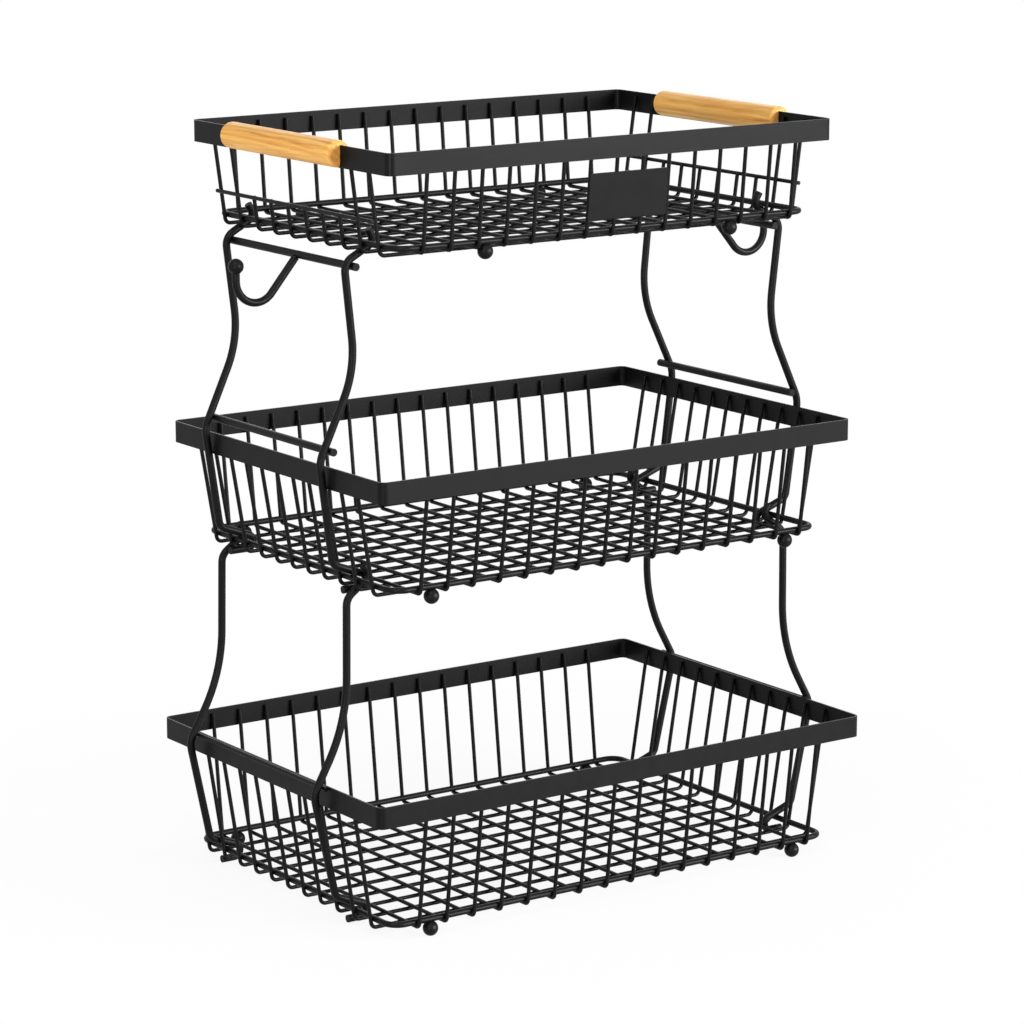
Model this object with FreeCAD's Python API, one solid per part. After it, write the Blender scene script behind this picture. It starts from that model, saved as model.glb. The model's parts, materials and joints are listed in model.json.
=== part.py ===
import FreeCAD, Part
import math
import os

# A free-standing basket with three tiers, in millimetres.
# +Z is up, +X is to the right, -Y is the front, and the origin is on the floor below the middle.

# Stock
wire_d = 2.6
ring_d = 4.0
leg_d = 5.0
lower_rail_d = 3.0
ball_d = 10.0
band_height = 14.0
band_thickness = 1.2
plate_thickness = 1.0

# Fits
weld = 0.15
ball_weld = 0.9
rest_gap = 0.05
lift_gap = 0.3
hook_gap = 0.1
hook_to_wire_gap = 1.0
cradle_to_wire_gap = 0.8
tip_to_ring_gap = 0.5
leg_to_wire_gap = 0.5
leg_to_leg_gap = 1.0
handle_to_wire_gap = 5.1

# Baskets: the rim's outline, how far inside it the base ring lies, the depth from the rim's top to the ring's
# centre, and the wires, whose outermost ones lie an edge distance inside the ring. Cross wires run front to
# back and are spread along X, long wires run left to right and are spread along Y. A foot is beside the cross
# wire that its count gives, counted from the outermost one.
bottom = dict(
    name="bottom", rim_x=385.0, rim_y=266.3, ring_inset_x=18.5, ring_inset_y=15.3, depth=83.5,
    cross_count=16, cross_edge=17.25, long_count=11, long_edge=17.85, foot_wire_count=1, foot_gap=4.15)
middle = dict(
    name="middle", rim_x=370.4, rim_y=253.4, ring_inset_x=17.7, ring_inset_y=14.4, depth=73.0,
    cross_count=16, cross_edge=16.75, long_count=11, long_edge=17.3, foot_wire_count=1, foot_gap=3.75)
top = dict(
    name="top", rim_x=345.0, rim_y=234.7, ring_inset_x=13.5, ring_inset_y=10.95, depth=60.5,
    cross_count=15, cross_edge=15.5, long_count=10, long_edge=14.6, foot_wire_count=3, foot_gap=0.5)
wire_shift_x = 1.0
wire_shift_y = 2.2
bottom_to_middle_rim = 202.8
middle_to_top_rim = 199.0
band_corner_r = 5.0
ring_corner_r = 10.0
wire_end_below_rim = 3.0
long_wire_bend_r = 4.0
ball_flat = 0.2

# Top basket's extras
full_wire_count = 2
side_rod_above_ring = 16.3
side_rod_overhang = 1.0
short_wire_above_rod = 0.3
handle_d = 17.0
handle_above_rim = 3.1
handle_outward = 1.0
handle_end_r = 2.5
plate_wire_count = 7
plate_width = 61.3
plate_height = 29.8
plate_above_ring = 7.9

# Side frames: each leg runs up from a hook round the lower ring past the rim band to its belly, narrows to
# its waist, and ends in a cradle under the upper ring. Distances are from the rings and the rim band. The top
# rail lies in the hollow of the shoulder's bend, at an angle above the bend's centre.
lower_frame = dict(
    name="lower", stub_outside_ring=2.5, ankle_outside_ring=11.2, band_gap=3.7, belly_above_rim=-5.2,
    belly_r=15.0, waist_outside_ring=8.2, waist_above_rim=39.1, waist_r=110.0, shoulder_outside_ring=7.5,
    cradle_slope=36.0)
upper_frame = dict(
    name="upper", stub_outside_ring=6.5, ankle_outside_ring=13.7, band_gap=0.35, belly_above_rim=3.4,
    belly_r=20.0, waist_outside_ring=4.9, waist_above_rim=59.2, waist_r=70.0, shoulder_outside_ring=12.6,
    cradle_slope=28.0)
ankle_r = 6.0
shoulder_r = 9.5
cradle_r = 5.0
cradle_tip_above_ring = 8.0
hook_slope = 20.0
front_hook_from_wire = 8.3
rail_overhang = 4.0
upper_rim_rail_above_rim = 9.3
top_rail_angle = 37.0

# Fruit hooks, from the rail that they hang on
fruit_hook_reach = 45.2
fruit_hook_drop = 28.1
fruit_hook_bowl_r = 14.6
fruit_hook_ball_below_rail = 4.0

wire_r = wire_d / 2
ring_r = ring_d / 2
leg_r = leg_d / 2
ball_r = ball_d / 2
hook_r = ring_r + leg_r + hook_gap
sides = dict(left=-1, right=1)
ends = dict(front=-1, back=1)
joins = dict(lower=(bottom, middle), upper=(middle, top))
nodes = {}

# Sizes of the rings, and heights of the rims and rings
for basket in (bottom, middle, top):
    basket["ring_x"] = basket["rim_x"] - 2 * basket["ring_inset_x"]
    basket["ring_y"] = basket["rim_y"] - 2 * basket["ring_inset_y"]
ball_below_ring = ring_r + ball_r - ball_weld
bottom["ring_z"] = ball_r - ball_flat + ball_below_ring
bottom["rim_z"] = bottom["ring_z"] + bottom["depth"]
middle["rim_z"] = bottom["rim_z"] + bottom_to_middle_rim
top["rim_z"] = middle["rim_z"] + middle_to_top_rim
middle["ring_z"] = middle["rim_z"] - middle["depth"]
top["ring_z"] = top["rim_z"] - top["depth"]


def vector(x, y, z):
    return FreeCAD.Vector(x, y, z)


def direction(start, end):
    step = end - start
    return step / step.Length


def joined(pieces):
    solids = pieces[0].multiFuse(pieces[1:]).removeSplitter().Solids
    assert len(solids) == 1
    return solids[0]


def bar(start, end, diameter):
    return Part.makeCylinder(diameter / 2, (end - start).Length, start, end - start)


def rod(points, bend_radii, diameter):
    """A round rod that runs straight between points, with a bend of the given radius at each inner one."""
    pieces = []
    start = points[0]
    for before, corner, after, radius in zip(points, points[1:], points[2:], bend_radii):
        into = direction(before, corner)
        out = direction(corner, after)
        turn = into.getAngle(out)
        setback = radius * math.tan(turn / 2)
        axis = direction(vector(0, 0, 0), into.cross(out))
        bend_start = corner - into * setback
        bend_centre = bend_start + axis.cross(into) * radius
        disc = Part.Face(Part.Wire(Part.makeCircle(diameter / 2, bend_start, into)))
        pieces.append(bar(start, bend_start, diameter))
        pieces.append(disc.revolve(bend_centre, axis, math.degrees(turn)))
        start = corner + out * setback
    pieces.append(bar(start, points[-1], diameter))
    return joined(pieces)


def rounded_block(length, width, height, corner_r, base_z):
    block = Part.makeBox(length, width, height, vector(-length / 2, -width / 2, base_z))
    upright = [edge for edge in block.Edges if abs(edge.tangentAt(0).z) > 0.5]
    return block.makeFillet(corner_r, upright)


def spread(count, half, shift):
    return [shift + half * (2 * index / (count - 1) - 1) for index in range(count)]


def cross_wire_places(basket):
    return spread(basket["cross_count"], basket["ring_x"] / 2 - basket["cross_edge"], wire_shift_x)


def long_wire_places(basket):
    return spread(basket["long_count"], basket["ring_y"] / 2 - basket["long_edge"], wire_shift_y)


def wall_line(rim_half, ring_half, rim_z, ring_z):
    """A wall wire's centre line: its upper end inside the band, and its direction down past the ring."""
    end = (rim_half - band_thickness - wire_r + weld, rim_z - wire_end_below_rim)
    to_ring = (ring_half - end[0], ring_z - end[1])
    aside = math.asin((ring_r + wire_r - weld) / math.hypot(*to_ring))
    angle = math.atan2(to_ring[1], to_ring[0]) + aside
    return end, angle


def wall_point(line, z, outward=0.0):
    """The point of a wall line at height z, moved outward square to the wall."""
    (end_u, end_z), angle = line
    along = (z - end_z) / math.sin(angle)
    return end_u + along * math.cos(angle) - outward * math.sin(angle), z + outward * math.cos(angle)


def cross_wall(basket):
    return wall_line(basket["rim_y"] / 2, basket["ring_y"] / 2, basket["rim_z"], basket["ring_z"])


def long_wall(basket):
    return wall_line(basket["rim_x"] / 2, basket["ring_x"] / 2, basket["rim_z"], basket["ring_z"])


def cross_wire(basket, x):
    """A wire from rim to rim, front to back, bent closely round the ring."""
    line = cross_wall(basket)
    bend_r = ring_r + wire_r - weld
    end_y, end_z = line[0]
    corner_y, corner_z = wall_point(line, basket["ring_z"] - bend_r)
    points = [
        vector(x, -end_y, end_z), vector(x, -corner_y, corner_z),
        vector(x, corner_y, corner_z), vector(x, end_y, end_z)]
    return rod(points, [bend_r, bend_r], wire_d)


def long_wire(basket, y, end_z):
    """A wire from side to side below the cross wires, with its ends at height end_z."""
    line = long_wall(basket)
    floor_z = basket["ring_z"] - ring_r - wire_r - wire_d + 2 * weld
    end_x = wall_point(line, end_z)[0]
    corner_x = wall_point(line, floor_z)[0]
    points = [
        vector(-end_x, y, end_z), vector(-corner_x, y, floor_z),
        vector(corner_x, y, floor_z), vector(end_x, y, end_z)]
    return rod(points, [long_wire_bend_r, long_wire_bend_r], wire_d)


def base_ring(basket):
    x = basket["ring_x"] / 2
    y = basket["ring_y"] / 2
    z = basket["ring_z"]
    points = [
        vector(0, -y, z), vector(x, -y, z), vector(x, y, z),
        vector(-x, y, z), vector(-x, -y, z), vector(0, -y, z)]
    return rod(points, [ring_corner_r] * 4, ring_d)


def rim_band(basket):
    base_z = basket["rim_z"] - band_height
    outside = rounded_block(basket["rim_x"], basket["rim_y"], band_height, band_corner_r, base_z)
    inner_x = basket["rim_x"] - 2 * band_thickness
    inner_y = basket["rim_y"] - 2 * band_thickness
    inside = rounded_block(inner_x, inner_y, band_height, band_corner_r - band_thickness, base_z)
    return outside.cut(inside)


def ball_foot(x, y, ring_z):
    """A ball below the ring, with a small flat where it stands."""
    z = ring_z - ball_below_ring
    ball = Part.makeSphere(ball_r, vector(x, y, z))
    flat_z = z - ball_r + ball_flat
    below = Part.makeBox(ball_d, ball_d, ball_d, vector(x - ball_r, y - ball_r, flat_z - ball_d))
    return ball.cut(below)


def add_basket(basket, short_end_z=None):
    """The five pieces of a basket. Long wires that aren't near its front or back end at short_end_z."""
    name = basket["name"]
    full_end_z = basket["rim_z"] - wire_end_below_rim
    long_wires = []
    for index, y in enumerate(long_wire_places(basket)):
        from_edge = min(index, basket["long_count"] - 1 - index)
        is_short = short_end_z is not None and from_edge >= full_wire_count
        long_wires.append(long_wire(basket, y, short_end_z if is_short else full_end_z))
    cross_places = cross_wire_places(basket)
    cross_wires = [cross_wire(basket, x) for x in cross_places]
    foot_y = basket["ring_y"] / 2
    beside_wire = wire_r + ball_r + basket["foot_gap"]
    left_x = cross_places[basket["foot_wire_count"] - 1] + beside_wire
    right_x = cross_places[-basket["foot_wire_count"]] - beside_wire
    feet = []
    for x in (left_x, right_x):
        for end in ends.values():
            feet.append(ball_foot(x, end * foot_y, basket["ring_z"]))
    nodes[name + "_rim_band"] = rim_band(basket)
    nodes[name + "_base_ring"] = base_ring(basket)
    nodes[name + "_cross_wires"] = Part.makeCompound(cross_wires)
    nodes[name + "_long_wires"] = Part.makeCompound(long_wires)
    nodes[name + "_ball_feet"] = Part.makeCompound(feet)


def side_rod(side, z):
    x, rod_z = wall_point(long_wall(top), z, wire_d - weld)
    places = long_wire_places(top)
    front_y = places[0] - side_rod_overhang
    back_y = places[-1] + side_rod_overhang
    return bar(vector(side * x, front_y, rod_z), vector(side * x, back_y, rod_z), wire_d)


def handle(side):
    """A wooden dowel with rounded ends, slotted from below over the rim band, between the full wires."""
    places = long_wire_places(top)
    beside_wire = wire_r + handle_to_wire_gap
    front_y = places[full_wire_count - 1] + beside_wire
    back_y = places[-full_wire_count] - beside_wire
    band_x = side * (top["rim_x"] - band_thickness) / 2
    x = band_x + side * handle_outward
    z = top["rim_z"] + handle_above_rim - handle_d / 2
    dowel = bar(vector(x, front_y, z), vector(x, back_y, z), handle_d)
    end_edges = [edge for edge in dowel.Edges if edge.isClosed()]
    dowel = dowel.makeFillet(handle_end_r, end_edges)
    slot_width = band_thickness + 2 * rest_gap
    slot_base = vector(band_x - slot_width / 2, front_y - handle_d, z - handle_d)
    slot_length = back_y - front_y + 2 * handle_d
    slot_height = top["rim_z"] + rest_gap - slot_base.z
    return dowel.cut(Part.makeBox(slot_width, slot_length, slot_height, slot_base))


def label_plate():
    """A bare plate across the front wires, parallel to the wall."""
    line = cross_wall(top)
    left_x = cross_wire_places(top)[plate_wire_count - 1] - wire_r
    low_z = top["ring_z"] + plate_above_ring
    back = wire_r - weld
    front = back + plate_thickness
    high_z = low_z + plate_height
    corners = []
    for z, outward in [(low_z, back), (low_z, front), (high_z, front), (high_z, back)]:
        y, corner_z = wall_point(line, z, outward)
        corners.append(vector(left_x, -y, corner_z))
    outline = Part.Face(Part.makePolygon(corners + corners[:1]))
    return outline.extrude(vector(plate_width, 0, 0))


def hook_arm_z(basket, x):
    """The height of a hook's upper arm at distance x from the middle: it slopes, and lies on the ring."""
    slope = math.radians(hook_slope)
    above_ring = (ring_r + leg_r + rest_gap) / math.cos(slope)
    return basket["ring_z"] + above_ring + (x - basket["ring_x"] / 2) * math.tan(slope)


def cradle_arm_z(frame, x):
    """The height of a cradle's arm at distance x from the middle: it rises inward just below the ring."""
    basket = joins[frame["name"]][1]
    slope = math.radians(frame["cradle_slope"])
    below_ring = (ring_r + leg_r + lift_gap) / math.cos(slope)
    return basket["ring_z"] - below_ring - (x - basket["ring_x"] / 2) * math.tan(slope)


def outer_wire_side(basket):
    """The outer side of the outermost cross wire that is nearer to the ring."""
    return basket["ring_x"] / 2 - basket["cross_edge"] + abs(wire_shift_x) + wire_r


def leg_outline(frame):
    """A leg's corners seen from the front, from its lower end up: distances from the middle and heights."""
    lower_basket, upper_basket = joins[frame["name"]]
    lower_ring = lower_basket["ring_x"] / 2
    upper_ring = upper_basket["ring_x"] / 2
    lower_rim_z = lower_basket["rim_z"]

    # The hook goes round the ring and turns back just short of the outermost cross wire.
    hook_turn = math.pi - math.radians(hook_slope)
    hook_bend_x = outer_wire_side(lower_basket) + hook_to_wire_gap + leg_r + hook_r
    hook_x = hook_bend_x - hook_r * math.tan(hook_turn / 2)
    hook_z = hook_arm_z(lower_basket, hook_x)
    stub_x = lower_ring + frame["stub_outside_ring"]
    ankle_x = lower_ring + frame["ankle_outside_ring"]
    ankle_z = hook_arm_z(lower_basket, ankle_x)

    # From the ankle the leg runs straight past the lower edge of the rim band to the belly.
    edge_x = lower_basket["rim_x"] / 2 + frame["band_gap"] + leg_r
    edge_z = lower_rim_z - band_height
    belly_z = lower_rim_z + frame["belly_above_rim"]
    belly_x = ankle_x + (edge_x - ankle_x) * (belly_z - ankle_z) / (edge_z - ankle_z)
    waist_x = upper_ring + frame["waist_outside_ring"]
    waist_z = lower_rim_z + frame["waist_above_rim"]
    shoulder_x = upper_ring + frame["shoulder_outside_ring"]
    shoulder_z = cradle_arm_z(frame, shoulder_x)

    # The cradle turns up just short of the outermost cross wire, and its tip leans back towards the ring, as
    # far as the ring can still be lifted past it.
    cradle_x = outer_wire_side(upper_basket) + cradle_to_wire_gap + leg_r
    tip_x = upper_ring - ring_r - tip_to_ring_gap - leg_r
    tip_z = upper_basket["ring_z"] + cradle_tip_above_ring
    return dict(
        stub=(stub_x, hook_z), hook=(hook_x, hook_z), ankle=(ankle_x, ankle_z), belly=(belly_x, belly_z),
        waist=(waist_x, waist_z), shoulder=(shoulder_x, shoulder_z),
        cradle=(cradle_x, cradle_arm_z(frame, cradle_x)), tip=(tip_x, tip_z))


def leg_ends(frame, end_name):
    """A leg's Y at the ring below it and at the ring above it, in gaps between the long wires."""
    front = {basket["name"]: long_wire_places(basket)[1] for basket in (bottom, middle, top)}
    back = {basket["name"]: long_wire_places(basket)[-2] for basket in (bottom, middle, top)}
    beside_wire = wire_r + leg_r + leg_to_wire_gap
    lower_front_top = front["middle"] + beside_wire
    return {
        ("lower", "front"): (front["bottom"] + front_hook_from_wire, lower_front_top),
        ("lower", "back"): (back["bottom"] + beside_wire, back["middle"] + beside_wire),
        ("upper", "front"): (lower_front_top + leg_d + leg_to_leg_gap, front["top"] + beside_wire),
        ("upper", "back"): (back["middle"] - beside_wire, back["top"] + beside_wire),
    }[frame["name"], end_name]


def leg_y(frame, end_name, z):
    """A leg's Y at height z."""
    lower_basket, upper_basket = joins[frame["name"]]
    low_y, high_y = leg_ends(frame, end_name)
    share = (z - lower_basket["ring_z"]) / (upper_basket["ring_z"] - lower_basket["ring_z"])
    return low_y + share * (high_y - low_y)


def leg(frame, side, end_name):
    """A leg, hooked round the lower basket's ring and turned up inside the upper basket's ring."""
    points = [vector(side * x, leg_y(frame, end_name, z), z) for x, z in leg_outline(frame).values()]
    bends = [hook_r, ankle_r, frame["belly_r"], frame["waist_r"], shoulder_r, cradle_r]
    return rod(points, bends, leg_d)


def leg_corners(frame, *names):
    outline = leg_outline(frame)
    return [vector(outline[name][0], 0, outline[name][1]) for name in names]


def rim_rail_line(frame, diameter):
    """A point and the direction of the line where a rail can be welded inside the stretch above the belly."""
    belly, waist = leg_corners(frame, "belly", "waist")
    along = direction(belly, waist)
    inward = vector(-along.z, 0, along.x)
    return belly + inward * (leg_r + diameter / 2 - weld), along


def lower_rim_rail_place():
    """Against the outside of the bottom basket's rim band."""
    start, along = rim_rail_line(lower_frame, lower_rail_d)
    x = bottom["rim_x"] / 2 + rest_gap + lower_rail_d / 2
    return x, start.z + (x - start.x) * along.z / along.x


def upper_rim_rail_place():
    """Above the middle basket's rim band."""
    start, along = rim_rail_line(upper_frame, leg_d)
    z = middle["rim_z"] + upper_rim_rail_above_rim
    return start.x + (z - start.z) * along.x / along.z, z


def top_rail_place():
    """In the hollow of the shoulder's bend."""
    waist, shoulder, cradle = leg_corners(upper_frame, "waist", "shoulder", "cradle")
    into = direction(waist, shoulder)
    out = direction(shoulder, cradle)
    to_centre = shoulder_r / math.cos(into.getAngle(out) / 2)
    centre = shoulder + direction(into, out) * to_centre
    inside_bend = shoulder_r - leg_d + weld
    angle = math.radians(top_rail_angle)
    return centre.x + inside_bend * math.cos(angle), centre.z + inside_bend * math.sin(angle)


def rail(frame, side, place, diameter):
    """A rail across both legs of a frame, at a distance from the middle and a height."""
    x, z = place
    front_y = leg_y(frame, "front", z) - rail_overhang
    back_y = leg_y(frame, "back", z) + rail_overhang
    return bar(vector(side * x, front_y, z), vector(side * x, back_y, z), diameter)


def fruit_hook(side):
    """A hook that leaves the top rail outward and down, and turns up to its ball, with the ball."""
    rail_x, rail_z = top_rail_place()
    outer_x = rail_x + fruit_hook_reach
    to_bowl = (fruit_hook_reach - fruit_hook_bowl_r, fruit_hook_bowl_r - fruit_hook_drop)
    aside = math.asin(fruit_hook_bowl_r / math.hypot(*to_bowl))
    angle = math.atan2(to_bowl[1], to_bowl[0]) - aside
    root_offset = leg_r - weld
    root = (rail_x + root_offset * math.cos(angle), rail_z + root_offset * math.sin(angle))
    corner = (outer_x, rail_z + fruit_hook_reach * math.tan(angle))
    ball_z = rail_z - fruit_hook_ball_below_rail
    tip = (outer_x, ball_z - math.sqrt(ball_r ** 2 - leg_r ** 2) + weld)
    points = [vector(side * x, 0, z) for x, z in (root, corner, tip)]
    ball = Part.makeSphere(ball_r, vector(side * outer_x, 0, ball_z))
    return rod(points, [fruit_hook_bowl_r], leg_d), ball


def add_frames():
    for side_name, side in sides.items():
        for frame in (lower_frame, upper_frame):
            for end_name in ends:
                name = "_".join([frame["name"], side_name, end_name, "leg"])
                nodes[name] = leg(frame, side, end_name)
        lower_rim_rail = rail(lower_frame, side, lower_rim_rail_place(), lower_rail_d)
        upper_rim_rail = rail(upper_frame, side, upper_rim_rail_place(), leg_d)
        hook, ball = fruit_hook(side)
        nodes["lower_" + side_name + "_rim_rail"] = lower_rim_rail
        nodes["upper_" + side_name + "_rim_rail"] = upper_rim_rail
        nodes["upper_" + side_name + "_top_rail"] = rail(upper_frame, side, top_rail_place(), leg_d)
        nodes[side_name + "_fruit_hook"] = hook
        nodes[side_name + "_hook_ball"] = ball


def add_top_extras(rod_z):
    for side_name, side in sides.items():
        nodes[side_name + "_side_rod"] = side_rod(side, rod_z)
        nodes[side_name + "_handle"] = handle(side)
    nodes["label_plate"] = label_plate()


side_rod_z = top["ring_z"] + side_rod_above_ring
add_basket(bottom)
add_basket(middle)
add_basket(top, short_end_z=side_rod_z + short_wire_above_rod)
add_top_extras(side_rod_z)
add_frames()

os.makedirs("parts", exist_ok=True)
for node, shape in nodes.items():
    shape.exportStep("parts/" + node + ".step")
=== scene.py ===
import json
import math

import bpy
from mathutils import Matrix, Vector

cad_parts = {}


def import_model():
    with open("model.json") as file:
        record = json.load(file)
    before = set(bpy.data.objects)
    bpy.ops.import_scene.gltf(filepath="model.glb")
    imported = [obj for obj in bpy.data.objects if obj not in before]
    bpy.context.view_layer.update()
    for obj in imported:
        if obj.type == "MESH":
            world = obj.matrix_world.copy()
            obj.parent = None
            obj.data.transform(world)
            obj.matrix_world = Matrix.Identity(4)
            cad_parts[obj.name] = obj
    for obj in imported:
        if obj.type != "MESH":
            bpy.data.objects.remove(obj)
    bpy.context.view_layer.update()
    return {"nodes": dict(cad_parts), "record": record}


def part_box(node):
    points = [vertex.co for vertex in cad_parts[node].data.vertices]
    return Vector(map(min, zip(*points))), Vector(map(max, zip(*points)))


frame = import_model()

MM = 0.001
PER_MM = 1000.0
WHITE = (1.0, 1.0, 1.0, 1.0)


# Shader nodes

class Tree:
    """Makes the nodes of a material or a world. A socket takes a number, a colour or a node's output."""

    def __init__(self, owner):
        owner.use_nodes = True
        self.nodes = owner.node_tree.nodes
        self.links = owner.node_tree.links
        self.nodes.clear()

    def feed(self, socket, value):
        if isinstance(value, bpy.types.NodeSocket):
            self.links.new(value, socket)
        else:
            socket.default_value = value

    def add(self, kind, **sockets):
        """A node of that kind. The names of its sockets are written with _ for a space."""
        node = self.nodes.new(kind)
        for name, value in sockets.items():
            self.feed(node.inputs[name.replace("_", " ")], value)
        return node

    def places(self, per_metre):
        """Places on the piece, in so many units per metre along each axis, the same from every side."""
        coordinates = self.add("ShaderNodeTexCoord")
        mapping = self.add("ShaderNodeMapping", Vector=coordinates.outputs["Object"], Scale=per_metre)
        return mapping.outputs["Vector"]

    def noise(self, per_metre, detail, roughness=0.55, distortion=0.0):
        texture = self.add(
            "ShaderNodeTexNoise", Vector=self.places(per_metre), Scale=1.0, Detail=detail,
            Roughness=roughness, Distortion=distortion)
        return texture.outputs["Fac"]

    def ramp(self, factor, stops):
        node = self.add("ShaderNodeValToRGB", Fac=factor)
        elements = node.color_ramp.elements
        while len(elements) < len(stops):
            elements.new(0.5)
        for element, (place, colour) in zip(elements, stops):
            element.position = place
            element.color = (*colour, 1.0)
        return node.outputs["Color"]

    def remap(self, value, between, onto):
        """A value that lies between two numbers, spread over the range between two others."""
        node = self.add(
            "ShaderNodeMapRange", Value=value, From_Min=between[0], From_Max=between[1],
            To_Min=onto[0], To_Max=onto[1])
        return node.outputs["Result"]

    def math(self, operation, *values):
        node = self.add("ShaderNodeMath")
        node.operation = operation
        for socket, value in zip(node.inputs, values):
            self.feed(socket, value)
        return node.outputs["Value"]

    def weighted(self, *parts):
        """The sum of values times their weights."""
        total = None
        for value, weight in parts:
            share = self.math("MULTIPLY", value, weight)
            total = share if total is None else self.math("ADD", total, share)
        return total

    def bump(self, height, distance, strength):
        node = self.add("ShaderNodeBump", Height=height, Distance=distance, Strength=strength)
        return node.outputs["Normal"]

    def seen(self):
        """1 for what the camera sees, directly, reflected or through glass, and 0 for light on the object."""
        path = self.add("ShaderNodeLightPath")
        total = self.math("ADD", path.outputs["Is Camera Ray"], path.outputs["Is Glossy Ray"])
        total = self.math("ADD", total, path.outputs["Is Transmission Ray"])
        return self.math("MINIMUM", total, 1.0)

    def blend_colours(self, share, first, second):
        """The first colour at share 0 and the second at share 1."""
        node = self.add("ShaderNodeMix")
        node.data_type = "RGBA"
        for name, value in (("Factor", share), ("A", first), ("B", second)):
            self.feed(node.inputs[name], value)
        return node.outputs["Result"]

    def blend_shaders(self, share, first, second):
        """The first shader at share 0 and the second at share 1."""
        node = self.add("ShaderNodeMixShader", Fac=share)
        self.links.new(first.outputs[0], node.inputs[1])
        self.links.new(second.outputs[0], node.inputs[2])
        return node

    def show(self, output_kind, shader):
        self.add(output_kind, Surface=shader.outputs[0])


def even(count):
    return (count, count, count)


def along_y(across, along):
    """Counts per metre for a grain that runs along Y."""
    return (across, along, across)


# Materials

def black_coat():
    """Satin black powder coat: a fine orange-peel skin, faintly uneven in tone and gloss."""
    material = bpy.data.materials.new("black_coat")
    tree = Tree(material)
    peel = tree.noise(even(1600), detail=2.0)
    cloud = tree.noise(even(90), detail=4.0)
    speck = tree.noise(even(4200), detail=1.0)
    tone = tree.weighted((cloud, 0.7), (speck, 0.3))
    skin = tree.bump(peel, distance=0.05 * MM, strength=0.35)
    shader = tree.add(
        "ShaderNodeBsdfPrincipled",
        Base_Color=tree.ramp(tone, [(0.3, (0.0015, 0.0015, 0.0016)), (0.7, (0.0035, 0.0035, 0.0037))]),
        Roughness=tree.remap(cloud, between=(0.3, 0.7), onto=(0.44, 0.54)),
        Specular_IOR_Level=0.09,
        Coat_Weight=0.06,
        Coat_Roughness=0.2,
        Normal=skin,
        Coat_Normal=skin)
    tree.show("ShaderNodeOutputMaterial", shader)
    return material


def growth_rings(tree):
    """Rings about a pith that runs along Y beside each handle, sized in millimetres, as values up to 0.5."""
    outside_middle = 26.1
    below_middle = 24.8
    sway_width = 7.0
    rings_per_mm = 0.3
    low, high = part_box("right_handle")
    pith_x = (low.x + high.x) / 2 / MM + outside_middle
    pith_z = (low.z + high.z) / 2 / MM - below_middle
    place = tree.add("ShaderNodeSeparateXYZ", Vector=tree.places(even(PER_MM)))
    beside = tree.math("SUBTRACT", tree.math("ABSOLUTE", place.outputs["X"]), pith_x)
    above = tree.math("SUBTRACT", place.outputs["Z"], pith_z)
    squares = tree.math("ADD", tree.math("POWER", beside, 2.0), tree.math("POWER", above, 2.0))
    sway = tree.math("MULTIPLY", tree.noise(along_y(70, 9), detail=2.0), sway_width)
    radius = tree.math("ADD", tree.math("SQRT", squares), sway)
    return tree.math("PINGPONG", tree.math("MULTIPLY", radius, rings_per_mm), 0.5)


def wood():
    """Light turned wood: growth rings, streaks and fibres along Y, a few dark pores and darker end grain."""
    pore_brown = (0.36, 0.13, 0.03, 1.0)
    end_grain_brown = (0.5, 0.2, 0.04, 1.0)
    material = bpy.data.materials.new("wood")
    tree = Tree(material)
    streaks = tree.noise(along_y(330, 13), detail=5.0, roughness=0.6, distortion=0.6)
    fibres = tree.noise(along_y(1500, 28), detail=4.0, roughness=0.6)
    pores = tree.noise(along_y(2600, 60), detail=2.0)
    grain = tree.weighted((growth_rings(tree), 0.3), (fibres, 0.24), (streaks, 0.6))
    colour = tree.ramp(grain, [
        (0.34, (0.96, 0.60, 0.17)),
        (0.48, (0.87, 0.45, 0.10)),
        (0.59, (0.73, 0.32, 0.06)),
        (0.70, (0.44, 0.16, 0.028))])
    in_pore = tree.remap(pores, between=(0.62, 0.72), onto=(0.0, 0.5))
    colour = tree.blend_colours(in_pore, colour, pore_brown)
    facing = tree.add("ShaderNodeSeparateXYZ", Vector=tree.add("ShaderNodeTexCoord").outputs["Normal"])
    along_fibres = tree.math("ABSOLUTE", facing.outputs["Y"])
    on_end = tree.remap(along_fibres, between=(0.4, 0.9), onto=(0.0, 0.6))
    shader = tree.add(
        "ShaderNodeBsdfPrincipled",
        Base_Color=tree.blend_colours(on_end, colour, end_grain_brown),
        Roughness=tree.remap(fibres, between=(0.3, 0.7), onto=(0.38, 0.55)),
        Specular_IOR_Level=0.3,
        Normal=tree.bump(fibres, distance=0.08 * MM, strength=0.4))
    tree.show("ShaderNodeOutputMaterial", shader)
    return material


finishes = {"black_coat": black_coat(), "wood": wood()}
slots = {row["node"]: row["material_slot"] for row in frame["record"]["subparts"]}
for name, piece in frame["nodes"].items():
    piece.data.materials.clear()
    piece.data.materials.append(finishes[slots[name]])


# Studio, in metres

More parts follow.
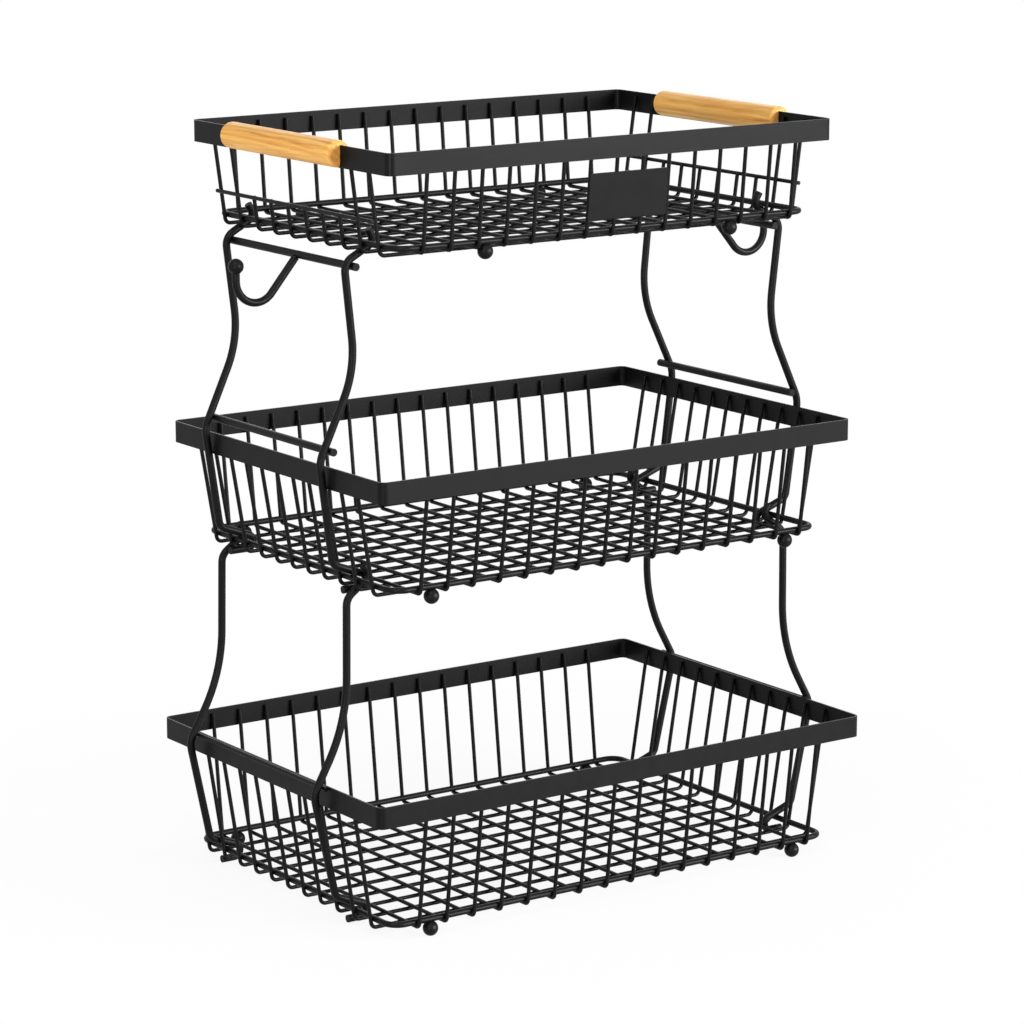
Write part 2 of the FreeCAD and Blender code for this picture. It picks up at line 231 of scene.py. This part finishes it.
def floor():
    """White where it is seen, apart from the object's shadow round the middle, and pale under the lamps."""
    half = 30.0
    shadow_reach = (0.25, 0.6)
    white_share = (0.9, 1.0)
    corners = [(-half, -half, 0), (half, -half, 0), (half, half, 0), (-half, half, 0)]
    mesh = bpy.data.meshes.new("floor")
    mesh.from_pydata(corners, [], [(0, 1, 2, 3)])
    plane = bpy.data.objects.new("floor", mesh)
    bpy.context.scene.collection.objects.link(plane)
    material = bpy.data.materials.new("floor")
    tree = Tree(material)
    lit = tree.add("ShaderNodeBsdfDiffuse", Color=(0.9, 0.9, 0.9, 1.0))
    white = tree.add("ShaderNodeEmission", Color=WHITE, Strength=1.0)
    from_middle = tree.add("ShaderNodeVectorMath")
    from_middle.operation = "LENGTH"
    tree.feed(from_middle.inputs[0], tree.places(even(1.0)))
    unshadowed = tree.remap(from_middle.outputs["Value"], between=shadow_reach, onto=white_share)
    share = tree.math("MULTIPLY", tree.seen(), unshadowed)
    tree.show("ShaderNodeOutputMaterial", tree.blend_shaders(share, lit, white))
    mesh.materials.append(material)


def world():
    """White where it is seen, and dimmer as a light on the object."""
    sky = bpy.data.worlds.new("studio")
    bpy.context.scene.world = sky
    tree = Tree(sky)
    lit = tree.add("ShaderNodeBackground", Color=WHITE, Strength=0.28)
    white = tree.add("ShaderNodeBackground", Color=WHITE, Strength=1.0)
    tree.show("ShaderNodeOutputWorld", tree.blend_shaders(tree.seen(), lit, white))


def lamp(name, place, size, watts):
    """A soft lamp that is aimed at the middle of the object and isn't seen itself."""
    middle = (0, 0, 0.25)
    data = bpy.data.lights.new(name, "AREA")
    data.shape = "RECTANGLE"
    data.size, data.size_y = size
    data.energy = watts
    stand = bpy.data.objects.new(name, data)
    stand.location = place
    stand.visible_camera = False
    x, y, z = [target - start for target, start in zip(middle, place)]
    tilt = math.pi / 2 + math.atan2(z, math.hypot(x, y))
    turn = math.atan2(y, x) - math.pi / 2
    stand.rotation_euler = (tilt, 0, turn)
    bpy.context.scene.collection.objects.link(stand)


def camera():
    """The photo's view."""
    looking_down = math.radians(12.02)
    turned_right = math.radians(34.94)
    data = bpy.data.cameras.new("camera")
    data.sensor_width = 36.0
    data.lens = 134.0
    eye = bpy.data.objects.new("camera", data)
    eye.location = (-1.41895, -2.03072, 0.7623)
    eye.rotation_euler = (math.pi / 2 - looking_down, 0, -turned_right)
    bpy.context.scene.collection.objects.link(eye)
    bpy.context.scene.camera = eye


floor()
world()
lamp("key", place=(-1.2, -1.0, 2.2), size=(1.6, 1.6), watts=27)
lamp("front", place=(5.6, -8.3, 2.2), size=(7.9, 4.3), watts=2100)
lamp("side", place=(-2.3, 0.2, 0.8), size=(1.0, 1.4), watts=2)
lamp("strip", place=(-2.0, -1.6, 0.34), size=(0.2, 0.6), watts=15)
lamp("back", place=(1.3, 2.1, 1.2), size=(1.9, 1.6), watts=16)
camera()
bpy.context.scene.view_settings.view_transform = "Standard"
